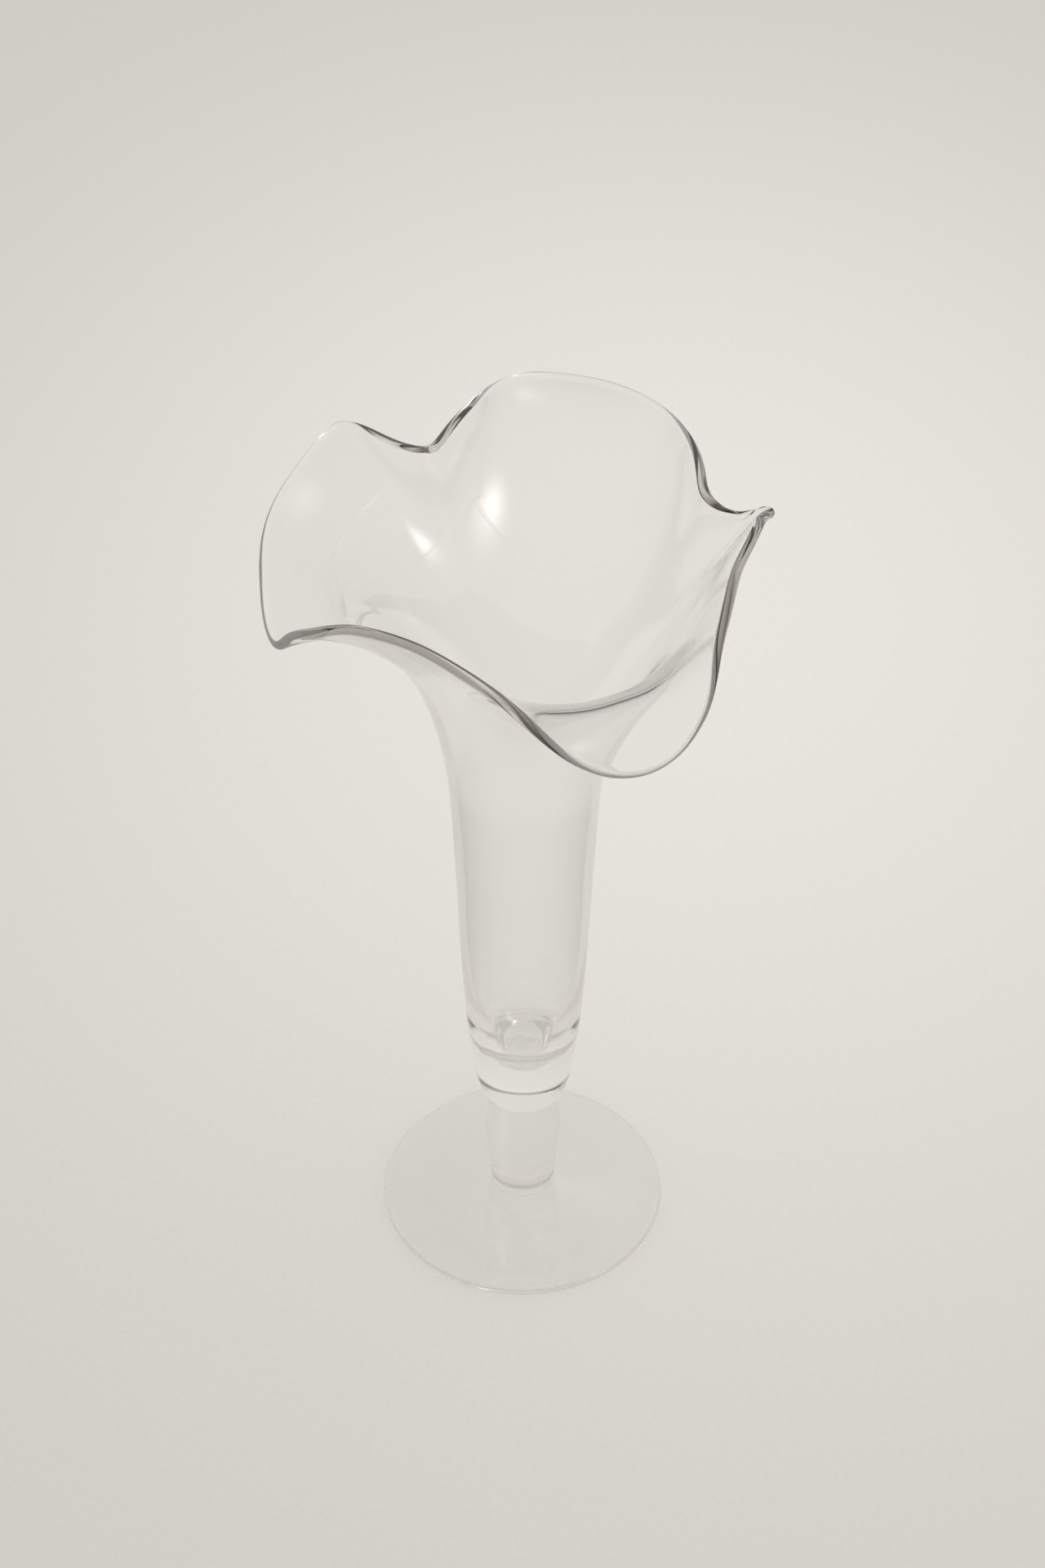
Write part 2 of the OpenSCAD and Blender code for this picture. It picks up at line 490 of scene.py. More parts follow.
@dataclass(frozen=True)
class PalePaper:
    """The matt paper that the vase stands on, with a painted pool of light: brightest behind the vase and
    to its right.
    """

    name: str = "pale_paper"
    # Painted light: the paper goes from the bright colour to the dim one away from its middle, a painted
    # pool of light.
    bright: Colour = (0.795, 0.770, 0.718)
    dim: Colour = (0.617, 0.597, 0.552)
    middle: tuple[float, float] = (0.06, 0.29)
    reach: float = 0.58
    squeeze: float = 1.3
    cloud: Grain = Grain(scale=600.0, detail=4.0, rough=0.7, spread=(0.3, 0.7))
    cloud_tint: Colour = (0.97, 0.97, 0.97)
    # Painted reflection: this dark colour shows only to light that glass has mirrored, for the dark lines
    # in the glass.
    floor: Colour = (0.060, 0.058, 0.050)
    sheet_middle: tuple[float, float, float] = (0.0, 0.7, 0.0)
    sheet_ends: tuple[float, float] = (0.85, 1.05)
    roughness: float = 0.9
    gloss: float = 0.1
    tooth: Grain = Grain(scale=900.0, detail=3.0)
    tooth_depth: float = 0.1 * MM
    tooth_strength: float = 0.1

    def colour(self, graph: Graph, where: Signal) -> Signal:
        """The paper's colour, with a faint mottle, a painted pool of light and a painted dark reflection.

        It dims with the distance of (squeeze x, y) from its middle, a painted pool of light, so the bright
        part is longer than it is wide. The sheet goes on to the horizon for the camera and straight
        through the glass, but light that glass has mirrored meets a dark floor beyond the sheet's ends:
        the paper is dark only to mirrored light, a painted dark reflection in the glass.

        Args:
            graph: the material's graph.
            where: the place on the table.

        Returns:
            The colour.
        """
        squeezed = graph.vector("MULTIPLY", where, (self.squeeze, 1.0, 1.0))
        centre = (self.squeeze * self.middle[0], self.middle[1], 0.0)
        away = graph.vector("DISTANCE", squeezed, centre, "Value").ramp(0.0, self.reach)
        beyond = graph.vector("DISTANCE", where, self.sheet_middle, "Value").ramp(*self.sheet_ends)
        # A painted pool of light: bright at the middle, dim further away.
        sheet = graph.blend(away, self.bright, self.dim)
        # Painted dark reflection: beyond the sheet the paper turns dark only to mirrored light.
        plain = graph.blend(graph.mirrored() * beyond, sheet, self.floor)
        return graph.blend(graph.noise(where, self.cloud), plain, self.cloud_tint, "MULTIPLY")

    def material(self) -> bpy.types.Material:
        """A matt surface in the paper's colour, with a fine tooth.

        Returns:
            The material.
        """
        material, graph = new_material(self.name)
        where = graph.place()
        tooth = graph.noise(where, self.tooth)
        values = {
            "Base Color": self.colour(graph, where),
            "Roughness": self.roughness,
            "Specular IOR Level": self.gloss,
            "Normal": graph.bump(tooth, self.tooth_depth, self.tooth_strength),
        }
        graph.show(graph.node("ShaderNodeBsdfPrincipled", values=values))
        return material


# Surfaces


def path_lengths(points: np.ndarray) -> np.ndarray:
    """How far each point lies along a path from its first one, as the sum of the steps before it."""
    return np.concatenate([[0.0], np.cumsum(np.linalg.norm(np.diff(points, axis=0), axis=1))])


def smooth_curve(points: Sequence[Sequence[float]], count: int) -> np.ndarray:
    """Natural cubic spline through points, spaced evenly along their chords.

    With h the chord lengths, the second derivatives m solve
    h[i-1] m[i-1] + 2 (h[i-1] + h[i]) m[i] + h[i] m[i+1] = 6 (slope[i] - slope[i-1]), m = 0 at both ends.

    Args:
        points: the points to pass through.
        count: how many points to return.

    Returns:
        The curve, one row a point.
    """
    knots = np.asarray(points, float)
    at = path_lengths(knots)
    step = np.linalg.norm(np.diff(knots, axis=0), axis=1)
    slope = np.diff(knots, axis=0) / step[:, None]
    size = len(knots)
    matrix = np.eye(size)
    right = np.zeros_like(knots)
    inner = np.arange(1, size - 1)
    matrix[inner, inner - 1] = step[:-1]
    matrix[inner, inner] = 2 * (step[:-1] + step[1:])
    matrix[inner, inner + 1] = step[1:]
    right[inner] = 6 * (slope[1:] - slope[:-1])
    bend = np.linalg.solve(matrix, right)
    where = np.linspace(0.0, at[-1], count)
    seg = np.clip(np.searchsorted(at, where, side="right") - 1, 0, size - 2)
    h = step[seg][:, None]
    ahead = (at[seg + 1] - where)[:, None]
    back = (where - at[seg])[:, None]
    return (
        (bend[seg] * ahead**3 + bend[seg + 1] * back**3) / (6 * h)
        + (knots[seg] / h - bend[seg] * h / 6) * ahead
        + (knots[seg + 1] / h - bend[seg + 1] * h / 6) * back
    )


def rounded_ring(values: np.ndarray, width: float) -> np.ndarray:
    """Round a closed line off with a bell of the given width.

    Each value becomes the mean of its neighbours, weighted by exp(-d^2 / (2 width^2)) round the ring.

    Args:
        values: one row a point of the ring.
        width: the bell's standard width, in points.

    Returns:
        The rounded values.
    """
    count = len(values)
    gap = np.minimum(np.arange(count), count - np.arange(count))
    bell = np.exp(-0.5 * (gap / width) ** 2)
    spectrum = np.fft.rfft(bell / bell.sum())[:, None]
    return np.fft.irfft(np.fft.rfft(values, axis=0) * spectrum, n=count, axis=0)


def turned(profile: np.ndarray, azimuths: np.ndarray) -> np.ndarray:
    """Turn a profile round the axis: (r, z) becomes (r cos a, r sin a, z) for each azimuth a.

    Args:
        profile: radius and height, one row a point.
        azimuths: the azimuths, in radians.

    Returns:
        Points, indexed by profile row, azimuth and coordinate.
    """
    radius, height = profile[:, :1], profile[:, 1:]
    level = np.broadcast_to(height, (len(profile), len(azimuths)))
    return np.stack([radius * np.cos(azimuths), radius * np.sin(azimuths), level], axis=-1)


def skin_faces(rows: int, columns: int) -> tuple[np.ndarray, np.ndarray]:
    """Faces of a skin of closed rings between a first and a last pole.

    Quad (i, j) joins points (i, j), (i, j+1), (i+1, j+1) and (i+1, j); the poles are the last two points.

    Args:
        rows: how many rings.
        columns: how many points a ring has.

    Returns:
        The quads as four indices each, and the pole triangles as three, the first pole's first.
    """
    i = np.arange(rows - 1)[:, None]
    j = np.arange(columns)[None, :]
    k = (j + 1) % columns
    row, above = i * columns, (i + 1) * columns
    quads = np.stack([row + j, row + k, above + k, above + j], axis=-1)
    first, last = rows * columns, rows * columns + 1
    ring, following = j.ravel(), k.ravel()
    top = (rows - 1) * columns
    under = np.stack([np.full(columns, first), following, ring], axis=-1)
    over = np.stack([np.full(columns, last), top + ring, top + following], axis=-1)
    return quads.reshape(-1, 4), np.concatenate([under, over])


def closed_skin(
    name: str,
    grid: np.ndarray,
    poles: tuple[float, float],
    finishes: Sequence[bpy.types.Material],
    fused_rows: tuple[bool, bool],
) -> bpy.types.Object:
    """Make an object of a grid of rings closed at both ends by a point on the axis.

    Args:
        name: the object's name.
        grid: the rings, indexed by row, column and coordinate.
        poles: heights of the first and the last point on the axis.
        finishes: the materials, by Skin.
        fused_rows: whether the faces at the first and the last pole are fused to a neighbour.

    Returns:
        The object.
    """
    rows, columns = grid.shape[:2]
    axis_points = np.array([[0.0, 0.0, poles[0]], [0.0, 0.0, poles[1]]])
    points = np.concatenate([grid.reshape(-1, 3), axis_points])
    quads, fans = skin_faces(rows, columns)
    corners = np.concatenate([quads.ravel(), fans.ravel()])
    mesh = bpy.data.meshes.new(name)
    mesh.vertices.add(len(points))
    mesh.vertices.foreach_set("co", points.astype(np.float32).ravel())
    mesh.loops.add(len(corners))
    mesh.loops.foreach_set("vertex_index", corners.astype(np.int32))
    mesh.polygons.add(len(quads) + len(fans))
    starts = np.concatenate([4 * np.arange(len(quads)), quads.size + 3 * np.arange(len(fans))])
    mesh.polygons.foreach_set("loop_start", starts.astype(np.int32))
    slots = np.full(len(quads) + len(fans), int(Skin.OPEN), dtype=np.int32)
    if fused_rows[0]:
        slots[len(quads) : len(quads) + columns] = int(Skin.FUSED)
    if fused_rows[1]:
        slots[len(quads) + columns :] = int(Skin.FUSED)
    for finish in finishes:
        mesh.materials.append(finish)
    mesh.polygons.foreach_set("material_index", slots)
    mesh.polygons.foreach_set("use_smooth", slots == int(Skin.OPEN))
    mesh.update(calc_edges=True)
    mesh.validate()
    made = bpy.data.objects.new(name, mesh)
    bpy.context.scene.collection.objects.link(made)
    return made


def full_turn(count: int) -> np.ndarray:
    """Evenly spaced azimuths once round the axis."""
    return 2 * math.pi * np.arange(count) / count


# The glass pieces


@dataclass(frozen=True)
class Foot:
    """The domed foot: a hollow underside, a flat rest ring, a rounded edge and a sloping crown."""

    diameter: float = 86 * MM
    edge_h: float = 2.8 * MM
    crown_h: float = 8.2 * MM
    rest_ring_w: float = 5 * MM
    hollow_h: float = 1.6 * MM
    stem_r: float = 9.904 * MM
    fall_power: float = 1.25
    columns: int = 256
    hollow_rows: int = 24
    edge_rows: int = 25
    crown_rows: int = 56

    def profile(self) -> np.ndarray:
        """The section from the hollow's middle round the edge to the stem.

        The hollow is hollow_h (1 - s^2), with s from the middle to the rest ring, and the edge is a half
        circle. The crown is edge_h + (crown_h - edge_h) s^fall_power, with s from the edge to the stem.

        Returns:
            Radius and height, one row a point, without the two points on the axis.
        """
        edge_r = self.edge_h / 2
        rest_outer = self.diameter / 2 - edge_r
        rest_inner = rest_outer - self.rest_ring_w
        s = np.linspace(0.0, 1.0, self.hollow_rows + 1)[1:]
        hollow = np.stack([rest_inner * s, self.hollow_h * (1 - s**2)], -1)
        turn = np.radians(np.linspace(-90.0, 90.0, self.edge_rows))
        edge = np.stack([rest_outer + edge_r * np.cos(turn), edge_r + edge_r * np.sin(turn)], -1)
        s = np.linspace(0.0, 1.0, self.crown_rows + 1)[1:]
        inwards = rest_outer + (self.stem_r - rest_outer) * s
        upwards = self.edge_h + (self.crown_h - self.edge_h) * s**self.fall_power
        return np.concatenate([hollow, edge, np.stack([inwards, upwards], -1)])

    def build(self, finishes: Sequence[bpy.types.Material]) -> bpy.types.Object:
        """Make the foot's mesh.

        Args:
            finishes: the materials, by Skin.

        Returns:
            The object.
        """
        grid = turned(self.profile(), full_turn(self.columns))
        return closed_skin("foot_glass", grid, (self.hollow_h, self.crown_h), finishes, (False, True))


@dataclass(frozen=True)
class Stem:
    """The solid barrel-shaped stem between the foot and the bowl."""

    low_z: float = 8.2 * MM
    height: float = 38.3 * MM
    belly_d: float = 22.9 * MM
    shares: tuple[tuple[float, float], ...] = (
        (0.00, 0.865), (0.05, 0.852), (0.11, 0.85), (0.20, 0.877), (0.34, 0.93),
        (0.48, 0.985), (0.62, 1.00), (0.78, 0.955), (1.00, 0.89),
    )
    columns: int = 192
    rows: int = 72

    def build(self, finishes: Sequence[bpy.types.Material]) -> bpy.types.Object:
        """Turn the stem: its profile is a smooth curve through height and radius shares.

        Args:
            finishes: the materials, by Skin.

        Returns:
            The object.
        """
        scale = np.array([self.height, self.belly_d / 2])
        curve = smooth_curve(np.array(self.shares) * scale, self.rows)
        profile = np.stack([curve[:, 1], self.low_z + curve[:, 0]], -1)
        grid = turned(profile, full_turn(self.columns))
        ends = (self.low_z, self.low_z + self.height)
        return closed_skin("stem_glass", grid, ends, finishes, (True, True))


@dataclass(frozen=True)
class Bowl:
    """The trumpet bowl: a tube with a solid bottom and a well, and a flare with a ruffled rim."""

    base_z: float = 46.5 * MM
    tube_h: float = 125.5 * MM
    throat_d: float = 43 * MM
    wall: float = 2.4 * MM
    floor_t: float = 17 * MM
    base_round_h: float = 11.5 * MM
    corner_angle: float = 70.0
    stem_r: float = 10.19 * MM
    flare_h: float = 90 * MM
    lobe_reach: float = 82 * MM
    lobe_drop: float = 20 * MM
    lobe_droop_angle: float = 40.0
    lip_t: float = 2.8 * MM
    flare_lean_angle: float = 82.5
    rise_share: float = 0.42
    lip_pull_share: float = 0.38
    turn_share: float = 0.5
    rim_round: float = 1.6 * MM
    fold_round_angle: float = 28.0
    fold_fade: float = 3.5
    columns: int = 384
    corner_rows: int = 7
    tube_rows: int = 44
    flare_rows: int = 60
    lip_rows: int = 9
    well_rows: int = 56
    station_steps: int = 96
    oversampling: int = 4
    floor_crowding: float = 1.25
    throat_blend_rows: float = 7.0
    throat_blend_rounds: int = 16
    tube_shares: tuple[tuple[float, float], ...] = (
        (0.095, 0.684), (0.17, 0.739), (0.34, 0.82), (0.43, 0.85),
        (0.60, 0.893), (0.76, 0.93), (0.92, 0.973), (1.00, 1.00),
    )
    well_shares: tuple[tuple[float, float], ...] = (
        (0.00, 0.00), (0.011, 0.385), (0.027, 0.53), (0.065, 0.765), (0.13, 0.885),
        (0.22, 0.965), (0.33, 1.00), (0.60, 1.00), (1.00, 1.00),
    )
    rim_shares: tuple[tuple[float, float, float, float], ...] = (
        (209, 0.90, 0.61, 1.00), (213, 0.865, 0.37, 0.97), (224, 0.74, 0.13, 0.90),
        (243, 0.70, 0.10, 0.80), (263, 0.785, 0.275, 0.75), (280, 0.95, 0.83, 0.95),
        (289, 0.99, 1.00, 1.00), (297.5, 0.98, 0.94, 1.00), (306, 0.93, 0.67, 0.85),
        (321, 0.78, 0.31, 0.66), (342, 0.70, 0.14, 0.52), (362, 0.75, 0.08, 0.40),
        (367.5, 0.80, 0.16, 0.38), (371, 0.77, 0.25, 0.37), (371.2, 0.70, 0.32, 0.37),
        (375, 0.635, 0.25, 0.42), (383.5, 0.625, 0.135, 0.56), (406, 0.755, 0.20, 0.74),
        (426.5, 0.93, 0.48, 0.85), (440, 1.015, 0.645, 0.90), (453, 0.93, 0.43, 0.93),
        (468, 0.66, 0.09, 0.97), (487, 0.505, 0.03, 1.00), (494, 0.585, 0.09, 1.00),
        (495.5, 0.835, 0.195, 1.00), (502, 0.86, 0.28, 1.00), (516, 0.85, 0.415, 1.00),
        (548, 0.85, 0.50, 1.00),
    )

    def throat_z(self) -> float:
        """Height of the throat, where the flare starts."""
        return self.base_z + self.tube_h

    def rim_line(self) -> np.ndarray:
        """The rim's middle line, evenly spaced along its length.

        Between the stations b and c, with neighbours a and d, it is the cubic
        (2b + (c-a)u + (2a-5b+4c-d)u^2 + (3b-a-3c+d)u^3) / 2, rounded by a bell of rim_round. The bell
        works on oversampling times the columns, and on the azimuth's excess over even spacing.

        Returns:
            Azimuth in degrees, reach share, drop share and bend share, one row a column.
        """
        stations = np.array(self.rim_shares, float)
        turn = np.array([360.0, 0.0, 0.0, 0.0])
        a = np.concatenate([stations[-1:] - turn, stations[:-1]])
        c = np.concatenate([stations[1:], stations[:1] + turn])
        d = np.concatenate([stations[2:], stations[:2] + turn])
        u = (np.arange(self.station_steps) / self.station_steps)[None, :, None]
        a, b, c, d = (v[:, None, :] for v in (a, stations, c, d))
        curved = (2 * a - 5 * b + 4 * c - d) * u**2 + (3 * b - a - 3 * c + d) * u**3
        line = (0.5 * (2 * b + (c - a) * u + curved)).reshape(-1, 4)
        line = np.concatenate([line, line[:1] + turn])
        spots = self.rim_place(line)
        along = path_lengths(spots)
        dense = self.oversampling * self.columns
        even = np.linspace(0.0, along[-1], dense, endpoint=False)
        line = np.stack([np.interp(even, along, line[:, k]) for k in range(4)], -1)
        steady = line[0, 0] + 360.0 * np.arange(dense) / dense
        line[:, 0] -= steady
        line = rounded_ring(line, self.rim_round / (along[-1] / dense))
        line[:, 0] += steady
        return line[:: self.oversampling]

    def calm_line(self, line: np.ndarray) -> np.ndarray:
        """The rim's line with its folds rounded off by a bell of fold_round_angle.

        Args:
            line: azimuth in degrees, reach share, drop share and bend share, one row a column.

        Returns:
            The same four values, rounded.
        """
        steady = line[0, 0] + 360.0 * np.arange(len(line)) / len(line)
        turn = np.stack([steady, 0 * steady, 0 * steady, 0 * steady], -1)
        return rounded_ring(line - turn, self.fold_round_angle / 360.0 * len(line)) + turn

    def rim_place(self, line: np.ndarray) -> np.ndarray:
        """Points in space of rim rows of azimuth, reach share and drop share."""
        azimuth = np.radians(line[:, 0])
        reach = self.lobe_reach * line[:, 1]
        crest = self.throat_z() + self.flare_h
        height = crest - self.lobe_drop * line[:, 2]
        return np.stack([reach * np.cos(azimuth), reach * np.sin(azimuth), height], -1)

    def tube_azimuths(self) -> np.ndarray:
        """Evenly spaced azimuths of the columns on the tube, in radians."""
        return math.radians(self.rim_shares[0][0]) + full_turn(self.columns)

    def flare_middle(self) -> np.ndarray:
        """The middle of the flare's glass.

        Each column is a cubic curve from the throat to the rim with two handles, near and far:
        v^3 start + 3 v^2 u near + 3 v u^2 far + u^3 end, with v = 1 - u. It starts at the lean and ends
        at 2 rise - lean - droop drop, and its handles are shares of the chord times the bend. Its azimuth
        goes from the tube's even spacing to the rim's own by a smooth step. The folds fade below the rim:
        a column's numbers are calm + (own - calm) u^fold_fade, with calm the rounded line.

        Returns:
            Points, indexed by row from the throat to the lip, column and coordinate.
        """
        line = self.rim_line()
        u = np.linspace(0.0, 1.0, self.flare_rows + 1)[:, None]
        calm = self.calm_line(line)
        line = (calm + (line - calm) * u[..., None] ** self.fold_fade).transpose(2, 0, 1)
        start = np.array([self.throat_d / 2 - self.wall / 2, self.throat_z()])
        crest = self.throat_z() + self.flare_h
        end = np.stack([self.lobe_reach * line[1], crest - self.lobe_drop * line[2]], -1)
        chord = np.linalg.norm(end - start, axis=-1)
        rise = np.degrees(np.arctan2(end[..., 1] - start[1], end[..., 0] - start[0]))
        lean = math.radians(self.flare_lean_angle)
        lip = np.radians(2 * rise - self.flare_lean_angle - self.lobe_droop_angle * line[2])
        bend = (line[3] * chord)[..., None]
        near = start + self.rise_share * bend * np.array([math.cos(lean), math.sin(lean)])
        far = end - self.lip_pull_share * bend * np.stack([np.cos(lip), np.sin(lip)], -1)
        v = 1 - u
        curve = (v**3)[..., None] * start + (3 * v**2 * u)[..., None] * near
        curve += (3 * v * u**2)[..., None] * far + (u**3)[..., None] * end
        w = np.minimum(1.0, u / self.turn_share)
        even = np.degrees(self.tube_azimuths())
        azimuth = np.radians(even + (line[0] - even) * w**2 * (3 - 2 * w))
        radius, height = curve[..., 0], curve[..., 1]
        return np.stack([radius * np.cos(azimuth), radius * np.sin(azimuth), height], -1)

    def flare_skin(self, middle: np.ndarray, normal: np.ndarray, side: Side) -> np.ndarray:
        """One side of the flare, half the glass away from its middle along the normal."""
        thick = self.wall + (self.lip_t - self.wall) * np.linspace(0.0, 1.0, len(middle))
        return middle + side.value * 0.5 * thick[:, None, None] * normal

    def lip(self, middle: np.ndarray, normal: np.ndarray) -> np.ndarray:
        """The fire-polished lip: a half circle from the outer skin to the inner one, past the rim."""
        onward = middle[-1] - middle[-2]
        onward /= np.linalg.norm(onward, axis=-1, keepdims=True)
        turn = (math.pi * np.arange(1, self.lip_rows) / self.lip_rows)[:, None, None]
        return middle[-1] + 0.5 * self.lip_t * (np.cos(turn) * normal[-1] + np.sin(turn) * onward)

    def tube_outside(self) -> np.ndarray:
        """Section of the base's rounded corner and the tube's outside, up to the throat.

        The corner is the part of an ellipse that turns through corner_angle, and one smooth curve runs
        through it and the tube's shares.

        Returns:
            Radius and height, one row a point.
        """
        throat_r = self.throat_d / 2
        shares = np.array(self.tube_shares)
        shoulder = throat_r * shares[0, 1]
        full = math.radians(self.corner_angle)
        turn = full * np.arange(self.corner_rows) / self.corner_rows
        reach = (shoulder - self.stem_r) * np.sin(turn) / math.sin(full)
        rise = self.base_round_h * (1 - np.cos(turn)) / (1 - math.cos(full))
        corner = np.stack([self.stem_r + reach, self.base_z + rise], -1)
        tube = np.stack([throat_r * shares[:, 1], self.base_z + self.tube_h * shares[:, 0]], -1)
        knots = np.concatenate([corner, tube])
        return smooth_curve(knots, self.corner_rows + self.tube_rows)

    def well_inside(self, outside: np.ndarray) -> np.ndarray:
        """Section of the inside from the throat down to the well's floor.

        The radius is the room inside the wall times the share, and the curve is mirrored about the axis
        so that the floor is level there. Rows crowd towards the floor as s^floor_crowding.

        Args:
            outside: the outside section.

        Returns:
            Radius and height, one row a point, without the point on the axis.
        """
        low = self.base_z + self.floor_t
        span = self.throat_z() - low
        shares = np.array(self.well_shares)
        knots = np.stack([low + span * shares[:, 0], shares[:, 1]], -1)
        knots[:, 1] *= np.interp(knots[:, 0], outside[:, 1], outside[:, 0]) - self.wall
        mirrored = np.concatenate([knots[:0:-1] * [1, -1], knots])
        dense = self.oversampling * self.well_rows
        curve = smooth_curve(mirrored, dense)[dense // 2 :]
        along = path_lengths(curve)
        spots = along[-1] * np.linspace(0.0, 1.0, self.well_rows + 1)[1:] ** self.floor_crowding
        height, radius = (np.interp(spots, along, curve[:, k]) for k in (0, 1))
        return np.stack([radius, height], -1)[::-1]

    def eased(self, grid: np.ndarray, throat_row: int) -> np.ndarray:
        """Ease the rows about the throat into each other.

        Each round moves a row half way to the mean of its neighbours, times
        exp(-(d / throat_blend_rows)^2) with d its distance from the throat in rows.

        Args:
            grid: one side's rows from the tube to the lip.
            throat_row: the throat's row.

        Returns:
            The eased rows.
        """
        eased = grid.copy()
        distance = np.arange(len(grid)) - throat_row
        weight = 0.5 * np.exp(-((distance / self.throat_blend_rows) ** 2))[1:-1, None, None]
        for _ in range(self.throat_blend_rounds):
            mean = 0.5 * (eased[2:] + eased[:-2])
            eased[1:-1] += weight * (mean - eased[1:-1])
        return eased

    def grid(self) -> tuple[np.ndarray, float]:
        """All rings of the bowl, from the base's edge up the outside, over the lip and down to the well.

        Returns:
            The rings, and the height of the well's floor.
        """
        middle = self.flare_middle()
        across = np.roll(middle, -1, axis=1) - np.roll(middle, 1, axis=1)
        normal = np.cross(across, np.gradient(middle, axis=0))
        normal /= np.linalg.norm(normal, axis=-1, keepdims=True)
        azimuths = self.tube_azimuths()
        outside = self.tube_outside()
        inside = self.well_inside(outside)
        outer, inner = (
            self.eased(
                np.concatenate([turned(section[:-1], azimuths), self.flare_skin(middle, normal, side)]),
                throat_row=len(section) - 1,
            )
            for section, side in ((outside, Side.OUTER), (inside[::-1], Side.INNER))
        )
        return np.concatenate([outer, self.lip(middle, normal), inner[::-1]]), self.base_z + self.floor_t

    def build(self, finishes: Sequence[bpy.types.Material]) -> bpy.types.Object:
        """Make the bowl's mesh.

        The solid's facets cut across the tips of the lobes, so the smooth tips are held within its box.

        Args:
            finishes: the materials, by Skin.

        Returns:
            The object.
        """
        grid, floor_z = self.grid()
        low, high = (np.asarray(corner)[:2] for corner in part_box("trumpet_bowl"))
        grid[..., :2] = np.clip(grid[..., :2], low, high)
        return closed_skin("bowl_glass", grid, (self.base_z, floor_z), finishes, (True, False))


@dataclass(frozen=True)
class Vase:
    """The three gathers of glass and their finishes."""

    foot: Foot = Foot()
    stem: Stem = Stem()
    bowl: Bowl = Bowl()
    foot_finish: ClearGlass = ClearGlass("foot_glass", worn_height=0.6 * MM)
    stem_finish: ClearGlass = ClearGlass("stem_glass")
    bowl_finish: ClearGlass = ClearGlass("bowl_glass")

    def build(self) -> None:
        """Make the three pieces, from the foot up, and put each in the place of its CAD node."""
        fused = FusedFace().material()
        plan = (
            (self.foot.build, self.foot_finish, "foot_disc"),
            (self.stem.build, self.stem_finish, "knop_stem"),
            (self.bowl.build, self.bowl_finish, "trumpet_bowl"),
        )
        for build, finish, node in plan:
            piece = build([finish.material(), fused])
            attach(piece, "root")
            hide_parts(node)
            log.info("%s stands for %s: %d faces", piece.name, node, len(piece.data.polygons))


# The studio


@dataclass(frozen=True)
class Viewpoint:
    """The photograph's camera: its place, how far it looks down, its roll and its lens."""

    place: tuple[float, float, float] = (-0.71 * MM, -772.64 * MM, 861.34 * MM)
    pitch: float = 41.851
    roll: float = 0.337
    lens: float = 84.99
    film_height: float = 36.0
    nearest: float = 50 * MM

    def build(self) -> None:
        """Place the camera: it looks along (0, cos pitch, -sin pitch), rolled about that line."""
        data = bpy.data.cameras.new("photo_camera")
        data.sensor_fit = "VERTICAL"
        data.sensor_height = self.film_height
        data.sensor_width = self.film_height
        data.lens = self.lens
        data.clip_start = self.nearest
        camera = bpy.data.objects.new("photo_camera", data)
        p, r = math.radians(self.pitch), math.radians(self.roll)
        ahead = np.array([0.0, math.cos(p), -math.sin(p)])
        level = np.array([1.0, 0.0, 0.0])
        upright = np.array([0.0, math.sin(p), math.cos(p)])
        right = math.cos(r) * level + math.sin(r) * upright
        up = -math.sin(r) * level + math.cos(r) * upright
        camera.matrix_world = Matrix(
            [[right[i], up[i], -ahead[i], self.place[i]] for i in range(3)] + [[0.0, 0.0, 0.0, 1.0]]
        )
        bpy.context.scene.collection.objects.link(camera)
        bpy.context.scene.camera = camera


@dataclass(frozen=True)
class Glow:
    """A soft bright part of the room, such as a distant window, with its angles in degrees."""

    azimuth: float
    elevation: float
    sharpness: float
    strength: float

    def light(self, towards: Signal) -> Signal:
        """How bright it is: strength max(0, cos a)^sharpness, with a the angle from its middle.

        Args:
            towards: the direction of view.

        Returns:
            The brightness.
        """
        turn, lift = math.radians(self.azimuth), math.radians(self.elevation)
        middle = (math.cos(lift) * math.cos(turn), math.cos(lift) * math.sin(turn), math.sin(lift))
        near = towards.graph.vector("DOT_PRODUCT", towards, middle, "Value")
        return self.strength * near.at_least_zero() ** self.sharpness


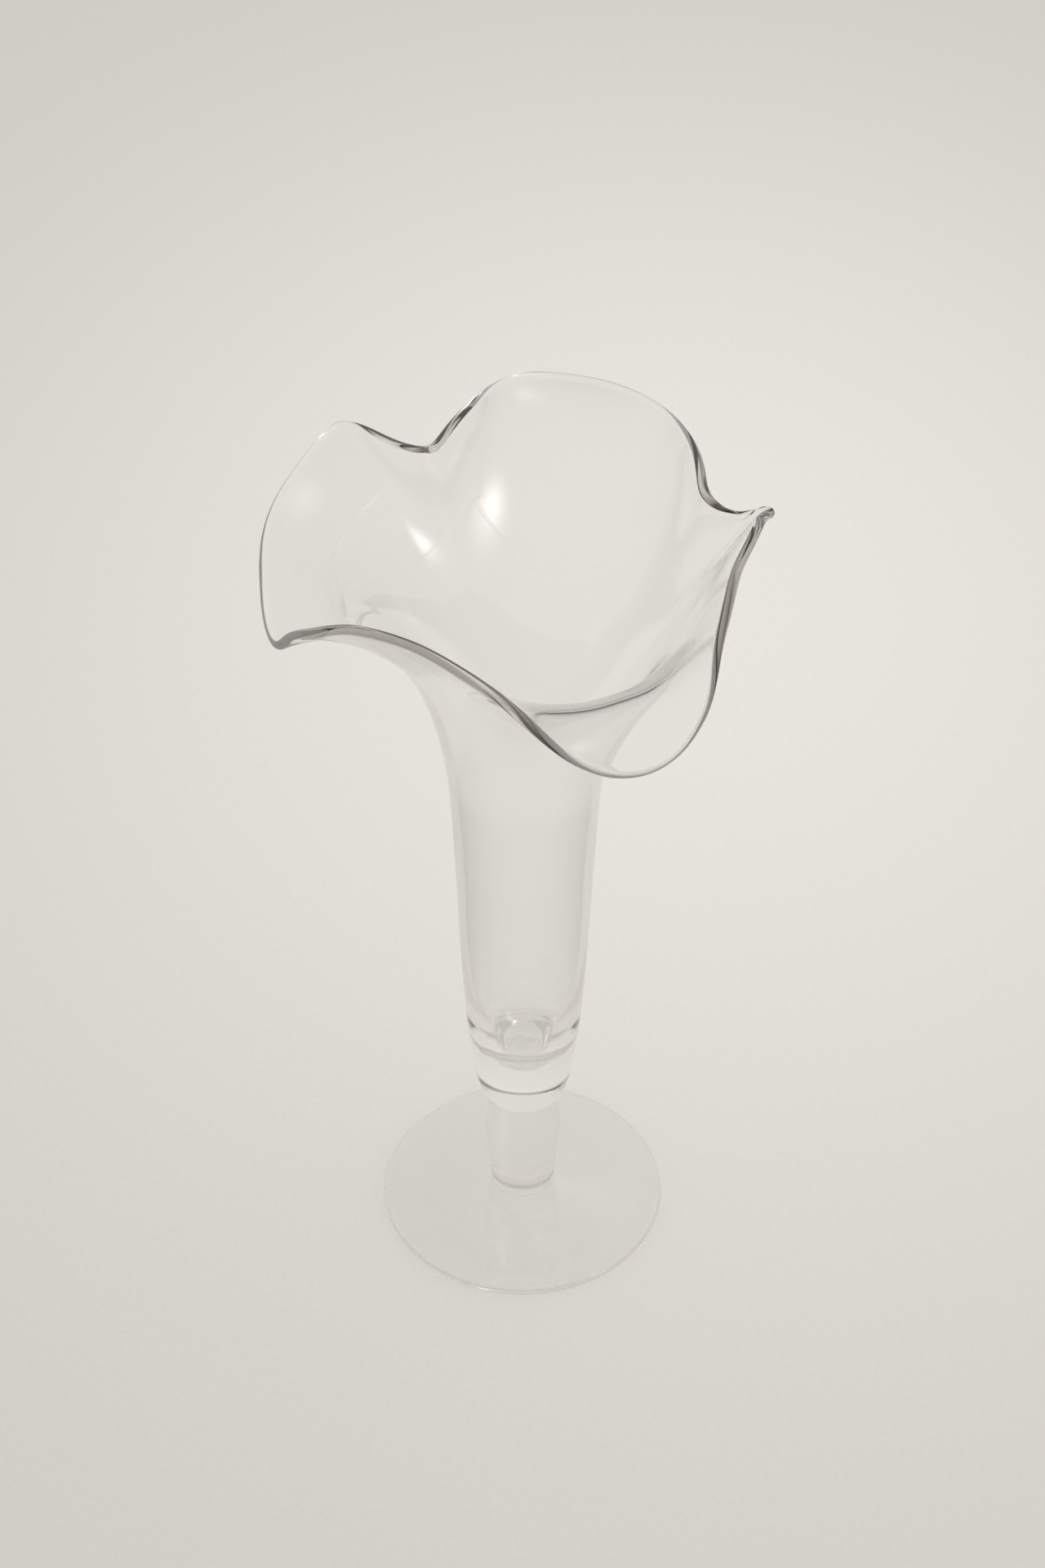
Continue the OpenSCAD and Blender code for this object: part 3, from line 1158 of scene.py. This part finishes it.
@dataclass(frozen=True)
class Room:
    """The room: the even light that falls on the table, and the walls and windows that glass shows."""

    sky: Colour = (0.86, 0.86, 0.86)
    sky_glow: Glow = Glow(azimuth=15.0, elevation=50.0, sharpness=4.0, strength=0.70)
    high: Colour = (0.55, 0.54, 0.52)
    low: Colour = (0.36, 0.355, 0.345)
    low_at_back: Colour = (0.45, 0.44, 0.42)
    high_starts: tuple[float, float] = (0.05, 0.60)
    back_starts: tuple[float, float] = (0.1, 0.8)
    windows: tuple[Glow, ...] = (
        Glow(azimuth=-32.0, elevation=23.0, sharpness=65.0, strength=4.2),
        Glow(azimuth=56.0, elevation=48.0, sharpness=150.0, strength=0.8),
    )

    def walls(self, graph: Graph, towards: Signal) -> Signal:
        """What glass shows of the room.

        The walls' colour goes from a low one, paler behind the vase, to that of the ceiling, as the
        direction's last part passes high_starts, and has the windows added.

        Args:
            graph: the world's graph.
            towards: the direction of view.

        Returns:
            The colour.
        """
        behind = graph.depth(towards).ramp(*self.back_starts)
        low = graph.blend(behind, self.low, self.low_at_back)
        rise = graph.height(towards).ramp(*self.high_starts)
        bright = sum(window.light(towards) for window in self.windows)
        return graph.blend(bright, graph.blend(rise, low, self.high), WHITE, "ADD")

    def build(self) -> None:
        """Light everything with the sky, and show the walls in glass."""
        world = bpy.data.worlds.new("room")
        world.use_nodes = True
        bpy.context.scene.world = world
        graph = Graph(world.node_tree)
        towards = graph.node("ShaderNodeTexCoord", output="Generated")
        sky = graph.blend(self.sky_glow.light(towards), self.sky, WHITE, "ADD")
        colour = graph.blend(graph.in_glass(), sky, self.walls(graph, towards))
        light = graph.node("ShaderNodeBackground", values={"Color": colour, "Strength": 1.0})
        graph.node("ShaderNodeOutputWorld", values={"Surface": light})


@dataclass(frozen=True)
class Studio:
    """The table, the room and the camera."""

    half_width: float = 4.0
    contact_gap: float = 0.04 * MM

    def build(self) -> None:
        """Lay the table, contact_gap under the foot, then set the room's light and the camera."""
        h, z = self.half_width, -self.contact_gap
        mesh = bpy.data.meshes.new("table")
        mesh.from_pydata([(-h, -h, z), (h, -h, z), (h, h, z), (-h, h, z)], [], [(0, 1, 2, 3)])
        mesh.materials.append(PalePaper().material())
        table = bpy.data.objects.new("table", mesh)
        bpy.context.scene.collection.objects.link(table)
        table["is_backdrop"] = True
        Room().build()
        Viewpoint().build()
        bpy.context.scene.view_settings.view_transform = "Standard"


def note_sizes(cad_box: Any) -> None:
    """Put the CAD model's box and the visual model's box into plain lists, which are not kept."""
    plain: Callable[[Any], list[list[float]]] = lambda box: [[float(v) for v in corner] for corner in box]
    {"cad": plain(cad_box), "visual": plain(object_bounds())}


def main() -> None:
    """Load the frame, build the vase and its studio, and put both boxes into plain lists."""
    logging.basicConfig(level=logging.INFO, format="%(name)s: %(message)s")
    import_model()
    cad_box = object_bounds()
    Vase().build()
    Studio().build()
    note_sizes(cad_box)


if __name__ == "__main__":
    main()
